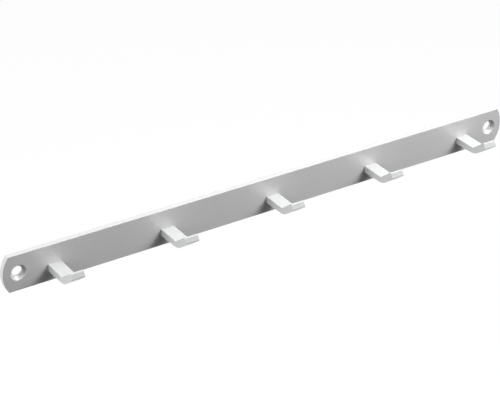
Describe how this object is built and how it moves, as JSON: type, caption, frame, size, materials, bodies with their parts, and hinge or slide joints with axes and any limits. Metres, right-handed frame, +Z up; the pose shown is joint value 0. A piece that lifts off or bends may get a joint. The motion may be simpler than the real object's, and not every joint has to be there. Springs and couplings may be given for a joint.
{
  "type": "wall coat rack",
  "caption": "Flat aluminium rail with bowed ends and countersunk screw holes, carrying a row of short bent hooks riveted to its face.",
  "frame": {"origin": "middle of the rail's back face, on the wall plane", "axes": "+X along the rail, -Y out of the wall towards the hooks' tips, +Z up"},
  "size_m": [0.312, 0.0274, 0.02],
  "materials": {
    "rail": "satin anodised",
    "hooks": "satin anodised"
  },
  "bodies": {
    "root": {"rail": "rail", "hook_1": "hooks", "hook_2": "hooks", "hook_3": "hooks", "hook_4": "hooks", "hook_5": "hooks"}
  },
  "joints": []
}
